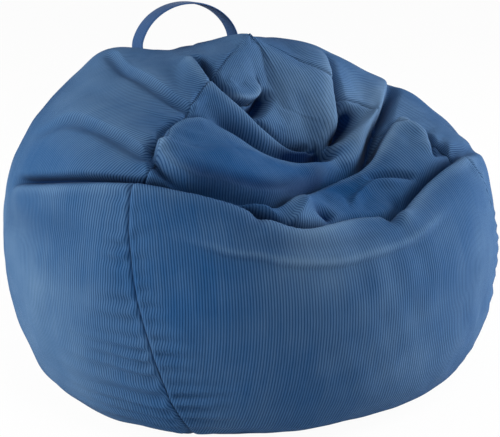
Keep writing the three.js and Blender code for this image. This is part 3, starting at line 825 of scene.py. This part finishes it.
def closed_mesh(name, rings, low, high, flat_map=False):
    """A closed body through rings, a (columns, rows, 3) grid round the Z axis, and its two end points."""
    ids = numbered(*rings.shape[:2])
    ids = np.vstack([ids, ids[:1]])
    faces = grid_faces(ids).tolist()
    end = rings.shape[0] * rings.shape[1]
    faces += [[k, i, end] for i, k in zip(ids[:-1, 0], ids[1:, 0])]
    faces += [[i, k, end + 1] for i, k in zip(ids[:-1, -1], ids[1:, -1])]
    vertices = np.vstack([rings.reshape(-1, 3), low, high])
    return add_mesh(name, vertices, faces, vertices[:, :2] if flat_map else None)


def disc_mesh(name, edge, bottom, top, rings=14):
    """A flat round body inside the closed (count, 2) outline edge."""
    shares = np.linspace(0, 1, rings + 1)[1:]
    shares = np.concatenate([shares, shares[::-1]])
    heights = np.repeat([bottom, top], rings)
    grid = edge[:, None] * shares[:, None]
    grid = np.dstack([grid, np.broadcast_to(heights, grid.shape[:2])])
    return closed_mesh(name, grid, (0, 0, bottom), (0, 0, top), flat_map=True)


def base_outline(inset, count=180):
    azimuth = np.arange(count) * 360 / count
    radius = CENTRE[2] / np.tan(np.radians(-edge_elevation(azimuth))) - COVER_OVERHANG - inset
    return (horizontal(azimuth) * radius[:, None])[:, :2]


def add_base():
    for node, name, inset, material, slot in (
        ("base_panel", "base_panel_cloth", 0, CORDUROY, "corduroy"),
        ("liner_base_panel", "liner_base_cloth", LINER_BASE_INSET, LINER_MATERIAL, "liner"),
    ):
        low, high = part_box(node)
        piece = disc_mesh(name, base_outline(inset), low[2], high[2])
        finish_piece(piece, material, slot, node)


def add_fill(panels):
    """The beads as one closed body under the liner."""
    rings = np.concatenate([inset_points(panel, FILL_INSET, FILL_FLOOR)[:-1, :-1] for panel in panels])
    piece = closed_mesh("bead_filling", rings, (0, 0, FILL_FLOOR), rings[:, -1].mean(0))
    finish_piece(piece, beads(), "beads", "bead_fill")


def coarse(grid):
    return grid[::SIM_STEP, ::SIM_STEP]


def refine(grid, shape):
    """A coarse grid's values brought to the fine grid by cubic interpolation."""
    for axis in (0, 1):
        grid = np.moveaxis(grid, axis, 0)
        count = shape[axis]
        t = np.linspace(0, grid.shape[0] - 1, count)
        i = np.minimum(t.astype(int), grid.shape[0] - 2)
        ends = np.concatenate([2 * grid[:1] - grid[1:2], grid, 2 * grid[-1:] - grid[-2:-1]])
        weights = cubic_weights((t - i).reshape(-1, *([1] * (grid.ndim - 1))))
        grid = sum(w * ends[i + k] for k, w in enumerate(weights))
        grid = np.moveaxis(grid, 0, axis)
    return grid


def drape_cover(panels):
    """Lets the slack cloth between the pinned creases puff out and wrinkle under the fill's pressure."""
    index, start = [], 0
    for panel in panels:
        columns, rows = coarse(panel.hold).shape
        index.append(numbered(columns - 1, rows, start))
        start += index[-1].size
    index = [np.vstack([ids, index[(i + 1) % len(index)][:1]]) for i, ids in enumerate(index)]
    faces = np.concatenate([grid_faces(ids) for ids in index])

    def joined(grids):
        return np.concatenate([coarse(grid)[:-1].reshape(-1, *grid.shape[2:]) for grid in grids])

    vertices = joined([panel.points for panel in panels])
    hold = joined([panel.hold for panel in panels])
    slack = joined([slack_share(panel.elevation) for panel in panels])
    shift = run_cloth(vertices, faces, hold, slack) - vertices
    shift *= DRAPE_CAP / np.maximum(np.linalg.norm(shift, axis=1, keepdims=True), DRAPE_CAP)
    for panel, ids in zip(panels, index):
        panel.drape = refine(shift[ids], panel.azimuth.shape)


def slack_share(elevation):
    """How much spare cloth the cover has: all of it over the folded top."""
    return smoothstep(8, 22, elevation) * smoothstep(88, 76, elevation)


def run_cloth(vertices, faces, hold, slack):
    piece = add_mesh("cloth_simulation", vertices, faces)
    for name, weights in (("hold", hold), ("slack", slack)):
        group = piece.vertex_groups.new(name=name)
        levels = np.round(np.clip(weights, 0, 1) * WEIGHT_LEVELS).astype(int)
        for level in np.unique(levels):
            if level:
                group.add(np.flatnonzero(levels == level).tolist(), level / WEIGHT_LEVELS, "REPLACE")
    cloth = piece.modifiers.new("Cloth", "CLOTH")
    for name, value in CLOTH_SETTINGS.items():
        setattr(cloth.settings, name, value)
    cloth.settings.effector_weights.gravity = 0
    cloth.collision_settings.use_self_collision = False
    scene = bpy.context.scene
    for number in range(1, SIM_FRAMES + 1):
        scene.frame_set(number)
    result = piece.evaluated_get(bpy.context.evaluated_depsgraph_get())
    moved = np.zeros(len(vertices) * 3, np.float32)
    result.data.vertices.foreach_get("co", moved)
    scene.frame_set(1)
    mesh = piece.data
    bpy.data.objects.remove(piece)
    bpy.data.meshes.remove(mesh)
    return moved.reshape(-1, 3).astype(float)


# ---------------- materials

class Tree:
    """Short ways to add nodes to a node tree. A value is a number or colour, or another node's output."""

    def __init__(self, tree):
        self.nodes, self.links = tree.nodes, tree.links

    def put(self, socket, value):
        if isinstance(value, bpy.types.NodeSocket):
            self.links.new(value, socket)
        else:
            socket.default_value = value

    def add(self, kind, **inputs):
        node = self.nodes.new("ShaderNode" + kind)
        for name, value in inputs.items():
            self.put(node.inputs[name], value)
        return node

    def maths(self, operation, a, b=None, clamp=False):
        node = self.add("Math")
        node.operation = operation
        node.use_clamp = clamp
        for socket, value in zip(node.inputs, (a, b)):
            if value is not None:
                self.put(socket, value)
        return node.outputs[0]

    def plus(self, a, b, times, clamp=False):
        """a + b * times"""
        return self.maths("ADD", a, self.maths("MULTIPLY", b, times), clamp)

    def ridges(self, place, pitch, wave="SINE"):
        """Rounded ridges from 0 to 1, one to a pitch."""
        return self.maths("ABSOLUTE", self.maths(wave, self.maths("MULTIPLY", place, math.pi / pitch)))

    def noise(self, vector, scale, detail=3.0, roughness=0.55):
        node = self.add("TexNoise", Vector=vector, Scale=scale, Detail=detail, Roughness=roughness)
        return node.outputs["Fac"]

    def stretched_noise(self, vector, scale, detail=2.0):
        return self.noise(self.add("Mapping", Vector=vector, Scale=scale).outputs["Vector"], 1.0, detail)

    def mix(self, factor, a, b):
        node = self.add("Mix")
        node.data_type = "RGBA"
        self.put(node.inputs["Factor"], factor)
        for socket, value in ((node.inputs[6], a), (node.inputs[7], b)):
            self.put(socket, (*value, 1) if isinstance(value, tuple) else value)
        return node.outputs[2]

    def grain(self):
        node = self.add("UVMap")
        node.uv_map = "Grain"
        return node.outputs["UV"]

    def place(self):
        return self.add("TexCoord").outputs["Object"]

    def split(self, vector):
        return self.add("SeparateXYZ", Vector=vector).outputs

    def attribute(self, name):
        node = self.add("Attribute")
        node.attribute_name = name
        return node.outputs["Fac"]


class Surface(Tree):
    """A new material made with the principled shader."""

    def __init__(self, name):
        self.material = bpy.data.materials.new(name)
        self.material.use_nodes = True
        super().__init__(self.material.node_tree)
        self.shader = self.nodes["Principled BSDF"]

    def bump(self, height, distance, strength=0.8):
        node = self.add("Bump", Strength=strength, Distance=distance, Height=height)
        self.links.new(node.outputs["Normal"], self.shader.inputs["Normal"])

    def done(self, **inputs):
        """Sets the shader's inputs, with _ for the spaces in their names, and gives the material."""
        for name, value in inputs.items():
            self.put(self.shader.inputs[name.replace("_", " ")], value)
        return self.material


def pile(look, grain):
    return look.stretched_noise(grain, (1400, 420, 1))


def corduroy():
    """Cotton corduroy: soft wales that run along the Grain map's second axis."""
    look = Surface("corduroy")
    grain = look.grain()
    across = look.plus(look.split(grain)[0], look.stretched_noise(grain, (14, 5, 1)), 0.0016)
    wale = look.maths("POWER", look.ridges(across, WALE_PITCH), 0.7)
    paleness = look.noise(look.place(), 9.0, 4.0, 0.6)
    streaks = look.stretched_noise(grain, (120, 7, 1), 3.0)
    shade = look.maths("ADD", look.plus(look.maths("MULTIPLY", paleness, 0.5), streaks, 0.25), 0.14)
    # The random nap with painted light, painted shade and painted highlights.
    nap_and_light = look.attribute("Nap_and_painted_light")
    top = look.mix(look.plus(shade, nap_and_light, 0.42, clamp=True), PILE_SMOOTH_AND_SHADED, PILE_BRUSHED_AND_LIT)
    # Where the random nap and the painted light and highlights make the pile paler, the wales show less.
    fluff_and_light = look.maths("MULTIPLY", nap_and_light, 0.34, clamp=True)
    # Painted shade in the grooves between the wales.
    colour = look.mix(look.maths("ADD", wale, fluff_and_light, clamp=True), SHADE_BETWEEN_WALES, top)
    # Painted shade in the creases.
    shadow = look.maths("MULTIPLY", look.attribute("Painted_crease_shade"), 0.95, clamp=True)
    relief = look.maths("MULTIPLY", wale, look.maths("SUBTRACT", 1.0, fluff_and_light))
    look.bump(look.plus(relief, pile(look, grain), 0.35), 0.0008, 0.9)
    return look.done(Base_Color=look.mix(shadow, colour, PAINTED_CREASE_SHADE), Roughness=0.9,
                     Specular_IOR_Level=0.04, Sheen_Weight=0.015, Sheen_Roughness=0.4,
                     Sheen_Tint=(1.0, 0.97, 1.0, 1))


def strap_cloth():
    """The cover's corduroy on the folded strap, its wales along the strap."""
    look = Surface("strap_corduroy")
    grain = look.grain()
    wale = look.maths("POWER", look.ridges(look.split(grain)[0], WALE_PITCH, "COSINE"), 0.55)
    look.bump(look.plus(wale, pile(look, grain), 0.35), 0.0007)
    # Painted shade in the grooves between the wales.
    colour = look.mix(wale, (0.006, 0.020, 0.066), (0.028, 0.081, 0.214))
    return look.done(Base_Color=colour, Roughness=0.9, Specular_IOR_Level=0.15, Sheen_Weight=0.12,
                     Sheen_Roughness=0.4, Sheen_Tint=(0.85, 0.92, 1.0, 1))


def plain_material(name, colour, roughness):
    """A plain material with a fine speck, for moulded surfaces and thread."""
    look = Surface(name)
    speck = look.noise(look.place(), 900.0, 2.0)
    darker = tuple(0.72 * c for c in colour)
    return look.done(Base_Color=look.mix(speck, darker, colour), Roughness=roughness)


def woven(name, colour, pitch, roughness=0.85, grain_map=False):
    """Plain weave: two crossed sets of threads, on the Grain map or in the object's X and Y."""
    look = Surface(name)
    place = look.grain() if grain_map else look.place()
    axes = look.split(place)
    weave = look.maths("MULTIPLY", look.ridges(axes[0], pitch), look.ridges(axes[1], pitch))
    height = look.plus(weave, look.noise(place, 60.0), 0.3)
    look.bump(weave, 0.0002)
    # Painted shade in the dips between the threads, mottled with random tone.
    darker = tuple(0.6 * c for c in colour)
    return look.done(Base_Color=look.mix(height, darker, colour), Roughness=roughness, Sheen_Weight=0.15)


def brass():
    """Antique brass: darker in blotches, worn bright elsewhere."""
    look = Surface("antique_brass")
    place = look.place()
    age = look.noise(place, 220.0, 4.0, 0.65)
    look.bump(look.stretched_noise(place, (300, 3000, 300)), 0.00004)
    return look.done(Base_Color=look.mix(age, BRASS_AGED, BRASS_WORN), Metallic=1.0, Roughness=0.38)


def beads():
    """Expanded polystyrene beads, each about 4 mm."""
    look = Surface("beads")
    cells = look.add("TexVoronoi", Scale=250.0, Vector=look.place())
    round_top = look.maths("SUBTRACT", 1.0, cells.outputs["Distance"])
    look.bump(round_top, 0.002)
    # Painted shade towards the edges of the beads, where they meet.
    colour = look.mix(round_top, (0.45, 0.45, 0.44), (0.93, 0.93, 0.92))
    return look.done(Base_Color=colour, Roughness=0.7)


CORDUROY = corduroy()
LINER_MATERIAL = woven("liner_cloth", (0.80, 0.79, 0.76), 0.0009, 0.8, True)
LINER_TAPE_MATERIAL = woven("liner_tape", (0.80, 0.79, 0.76), 0.0008)
TAPE_MATERIAL = woven("zip_tape", (0.028, 0.062, 0.145), 0.0008, 0.85, True)
TEETH_MATERIAL = plain_material("zip_teeth", (0.020, 0.055, 0.125), 0.42)


# ---------------- stage

def add_light(name, place, side, power, colour):
    data = bpy.data.lights.new(name, "AREA")
    data.shape = "RECTANGLE"
    data.size = data.size_y = side
    data.energy = power
    data.color = colour
    lamp = bpy.data.objects.new(name, data)
    lamp.location = place
    lamp.rotation_euler = (Vector(LIGHT_AIM) - Vector(place)).to_track_quat("-Z", "Y").to_euler()
    bpy.context.scene.collection.objects.link(lamp)


def add_stage():
    """The white floor and surroundings, which the camera sees paler than they light the cover."""
    corners = [(x * FLOOR_HALF, y * FLOOR_HALF, 0) for x, y in ((-1, -1), (1, -1), (1, 1), (-1, 1))]
    floor = add_mesh("studio_floor", corners, [(0, 1, 2, 3)])
    look = Surface("studio_floor")
    look.done(Base_Color=FLOOR_COLOUR, Roughness=0.9)
    seen = look.maths("MULTIPLY", look.add("LightPath").outputs["Is Camera Ray"], FLOOR_GLOW)
    mix = look.add("MixShader")
    for socket, value in zip(mix.inputs, (seen, look.shader.outputs[0], look.add("Emission").outputs[0])):
        look.links.new(value, socket)
    look.links.new(mix.outputs[0], look.nodes["Material Output"].inputs[0])
    floor.data.materials.append(look.material)
    world = bpy.data.worlds.new("studio")
    bpy.context.scene.world = world
    world.use_nodes = True
    sky = Tree(world.node_tree)
    seen = sky.maths("MULTIPLY", sky.add("LightPath").outputs["Is Camera Ray"], WORLD_GLOW)
    background = sky.nodes["Background"]
    sky.links.new(sky.maths("ADD", seen, WORLD_LIGHT), background.inputs["Strength"])
    background.inputs["Color"].default_value = (1, 1, 1, 1)
    for light in LIGHTS:
        add_light(*light)
    bpy.context.scene.view_settings.view_transform = "Standard"


def add_camera():
    azimuth, elevation = math.radians(CAMERA_AZIMUTH), math.radians(CAMERA_ELEVATION)
    back = Vector((math.sin(azimuth) * math.cos(elevation), -math.cos(azimuth) * math.cos(elevation),
                   math.sin(elevation)))
    data = bpy.data.cameras.new("camera")
    data.sensor_width = 36
    data.lens = CAMERA_LENS
    camera = bpy.data.objects.new("camera", data)
    camera.location = Vector(CAMERA_TARGET) + back * CAMERA_DISTANCE
    camera.rotation_euler = back.to_track_quat("Z", "Y").to_euler()
    bpy.context.scene.collection.objects.link(camera)
    bpy.context.scene.camera = camera


# ---------------- handle

def lengths_along(path):
    return np.concatenate([[0], np.cumsum(np.linalg.norm(np.diff(path, axis=0), axis=1))])


def sweep(name, path, across, width, thickness):
    """A flat strap with rounded edges along path; across holds its width's direction at each point."""
    tangent = unit(np.gradient(path, axis=0))
    across = unit(across - np.einsum("ij,ij->i", across, tangent)[:, None] * tangent)
    up = np.cross(tangent, across)
    t = np.arange(SECTION_POINTS) * 2 * math.pi / SECTION_POINTS
    flat = np.sign(np.cos(t)) * np.abs(np.cos(t)) ** 0.35 * width / 2
    tall = np.sign(np.sin(t)) * np.abs(np.sin(t)) ** 0.8 * thickness / 2
    rings = path[:, None] + across[:, None] * flat[:, None] + up[:, None] * tall[:, None]
    uvs = np.stack(np.broadcast_arrays(flat[None], lengths_along(path)[:, None]), -1)
    return add_mesh(name, rings.reshape(-1, 3), tube_faces(len(path), SECTION_POINTS), uvs.reshape(-1, 2))


def handle_path(cover):
    """The strap's middle line: sewn down, up into the loop, and down again."""
    pivot, axis = (np.array(JOINTS["handle_fold"][key]) for key in ("pos_m", "axis"))
    normal = np.array(cover.find_nearest(Vector(pivot))[1])

    def on_cover(along, lift):
        start = pivot + axis * along + normal * 0.05
        hit = cover.ray_cast(Vector(start), Vector(-normal))[0]
        return np.array(hit) + normal * (lift + STRAP_THICKNESS / 2)

    half = STRAP_HALF_SPAN
    points = [on_cover(-half - STRAP_TAB * t, STRAP_SEWN_LIFT) for t in (1, 0.6, 0.25)]
    points.append(on_cover(-half - 0.001, STRAP_BEND_LIFT))
    for turn in np.radians(np.linspace(8, 172, 15)):
        reach = -np.cos(turn) * LOOP_HALF_SPAN - 0.002
        points.append(pivot + axis * reach + STRAP_UP * STRAP_RISE * np.sin(turn) ** 1.05)
    points.append(on_cover(half + 0.001, STRAP_BEND_LIFT))
    points += [on_cover(half + STRAP_TAB * t, STRAP_SEWN_LIFT) for t in (0.25, 0.6, 1)]
    path = smooth_curve(points, 150)
    across = np.broadcast_to(np.cross(axis, STRAP_UP), path.shape)
    return path, across, pivot, normal


def on_strap(line, length, across, outward, spot):
    """A place on the strap's outside, metres from its end and to the side, and the way up from it."""
    at, ahead = (np.array([np.interp(spot[0] + step, length, axis) for axis in line.T])
                 for step in (0, 0.002))
    along = unit(ahead - at)
    wide = unit(across - np.dot(across, along) * along)
    up = np.cross(along, wide)
    up = up * np.sign(np.dot(up, outward))
    return at + wide * spot[1] + up * (STRAP_THICKNESS / 2 + 0.0001), up


def add_stitches(path, across, outward):
    """The box of stitches, crossed corner to corner, that sews down each end of the strap."""
    vertices, faces = [], []
    sides = np.arange(STITCH_SIDES) * 2 * math.pi / STITCH_SIDES
    near, far, half = STITCH_BOX
    corners = np.array([(near, -half), (near, half), (far, half), (far, -half)])
    for line, wide in ((path, across[0]), (path[::-1], -across[0])):
        length = lengths_along(line)
        for i, j in ((0, 1), (1, 2), (2, 3), (3, 0), (0, 2), (1, 3)):
            first, run = corners[i], corners[j] - corners[i]
            count = int(np.linalg.norm(run) / STITCH_PITCH)
            for n in range(count):
                (a, up), (b, _) = (on_strap(line, length, wide, outward, first + run * (n + t) / count)
                                   for t in (0.16, 0.84))
                ring = np.cos(sides)[:, None] * np.cross(up, unit(b - a)) + np.sin(sides)[:, None] * up
                faces += tube_faces(4, STITCH_SIDES, len(vertices))
                for share, thick in ((0, 0.35), (0.2, 1), (0.8, 1), (1, 0.35)):
                    vertices.extend(a + (b - a) * share + ring * thick * STITCH_RADIUS)
    piece = add_mesh("handle_stitches", vertices, faces)
    finish_piece(piece, plain_material("handle_thread", (0.045, 0.110, 0.235), 0.55), "strap")


def add_handle(cover):
    path, across, pivot, normal = handle_path(cover)
    add_stitches(path, across, normal)
    strap = sweep("handle_strap_cloth", path, across, STRAP_WIDTH, STRAP_THICKNESS)
    nodes = ("handle_strap", "handle_end_left", "handle_end_right")
    finish_piece(strap, strap_cloth(), "strap", *nodes, body=None)
    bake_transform(strap)


# ---------------- zip and label

def arc_point(angle, x, depth):
    """A place on the zip: degrees along its arc, metres to the side and under the cover's outside."""
    a = np.radians(angle)
    radius = ZIP_RADIUS - np.asarray(depth)
    y = ZIP_AXIS[1] + radius * np.cos(a)
    z = ZIP_AXIS[2] + radius * np.sin(a)
    return np.stack(np.broadcast_arrays(np.asarray(x, float), y, z), -1)


def zip_tape(name, side):
    angles = np.linspace(*ZIP_ARC, 120)
    across = np.linspace(0.0003, ZIP_TAPE_HALF, 9) * side
    if side < 0:
        across = across[::-1]
    outer, inner = ZIP_TAPE_DEPTHS
    points = arc_point(angles[None, :], across[:, None], outer)
    uvs = np.stack(np.broadcast_arrays(across[:, None], np.radians(angles)[None] * ZIP_RADIUS), -1)
    piece = sheet_mesh(name + "_woven", points[::-1], uvs[::-1], inner - outer)
    finish_piece(piece, TAPE_MATERIAL, "zip_tape", name)


def zip_teeth(name, side):
    """One row of moulded teeth: each has a foot on the tape and a head past the middle."""
    low, high = np.radians(ZIP_ARC)
    pitch = ZIP_PITCH / ZIP_RADIUS
    vertices, faces = [], []
    angle = low + pitch * (1.4 + 0.5 * (side > 0))
    while angle < high - pitch * 1.2:
        faces += tube_faces(len(TOOTH_LAYERS), len(TOOTH_OUTLINE), len(vertices), side)
        for depth, shrink in TOOTH_LAYERS:
            for x, along in TOOTH_OUTLINE:
                place = TOOTH_MIDDLE + (x - TOOTH_MIDDLE) * shrink
                turn = math.degrees(angle + along * shrink * pitch)
                vertices.append(arc_point(turn, side * max(place, -TOOTH_PAST_MIDDLE), depth))
        angle += pitch
    piece = add_mesh(name + "_moulded", vertices, faces, smooth=False)
    finish_piece(piece, TEETH_MATERIAL, "zip_teeth", name)


def add_label(cover):
    """A blank woven tag sewn in beside the back seam, with a slight curl, lying on the cover."""
    low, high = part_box("care_label")
    u, v = np.meshgrid(np.linspace(0, 1, 25), np.linspace(0, 1, 17), indexing="ij")
    x = low[0] + (high[0] - low[0]) * u
    z = low[2] + 0.0004 + (high[2] - low[2] - 0.0008) * v
    slope = (high[1] - low[1]) * 0.55
    y = low[1] + 0.0014 + slope * v + 0.0022 * np.sin(2.6 * u) * (0.6 + 0.4 * v)
    points = np.stack([x, y, z], -1)
    for point in points.reshape(-1, 3):
        hit = cover.ray_cast(Vector((point[0], high[1] + 0.1, point[2])), Vector((0, -1, 0)))[0]
        point[1] = max(point[1], hit[1] + 0.0012)
    uvs = np.stack([x, z], -1)
    piece = sheet_mesh("care_label_ribbon", points[::-1], uvs[::-1], 0.0005)
    finish_piece(piece, woven("label_ribbon", (0.86, 0.85, 0.82), 0.0006, 0.5, True), "label", "care_label")


def dress_cad_nodes():
    """Materials and rounded edges for the CAD nodes that show as they are."""
    metal = brass()
    dressing = (
        (metal, ("zip_top_stop", "zip_bottom_stop", "zip_slider", "zip_pull_tab", "liner_zip_slider")),
        (TEETH_MATERIAL, ("liner_zip_stop_far", "liner_zip_stop_near", "liner_zip_teeth_left",
                          "liner_zip_teeth_right")),
        (LINER_TAPE_MATERIAL, ("liner_zip_tape_left", "liner_zip_tape_right")),
    )
    for material, names in dressing:
        for node in (frame["nodes"][name] for name in names):
            node.data.materials.clear()
            node.data.materials.append(material)
            if material is metal:
                bevel = node.modifiers.new("soft edges", "BEVEL")
                bevel.width = 0.0003
                bevel.segments = 2


# ---------------- the whole chair

add_camera()
add_stage()
PANELS = {
    "front_panel": Panel(SEAM_FRONT_LEFT, SEAM_FRONT_RIGHT),
    "rear_right_panel": Panel(SEAM_FRONT_RIGHT, SEAM_BACK, grain_gather=1.2),
    "rear_left_panel": Panel(SEAM_BACK, SEAM_FRONT_LEFT, grain_gather=1.2),
}
drape_cover(list(PANELS.values()))
for name, panel in PANELS.items():
    cover_panel(name, panel)
    liner_panel(name, panel)
add_base()
add_fill(list(PANELS.values()))
cover_tree = tree_of(grid_shells([panel.outside for panel in PANELS.values()]))
add_handle(cover_tree)
for name, side in (("left", -1), ("right", 1)):
    zip_tape("zip_tape_" + name, side)
for name, side in (("left", -1), ("right", 1)):
    zip_teeth("zip_teeth_" + name, side)
add_label(cover_tree)
dress_cad_nodes()
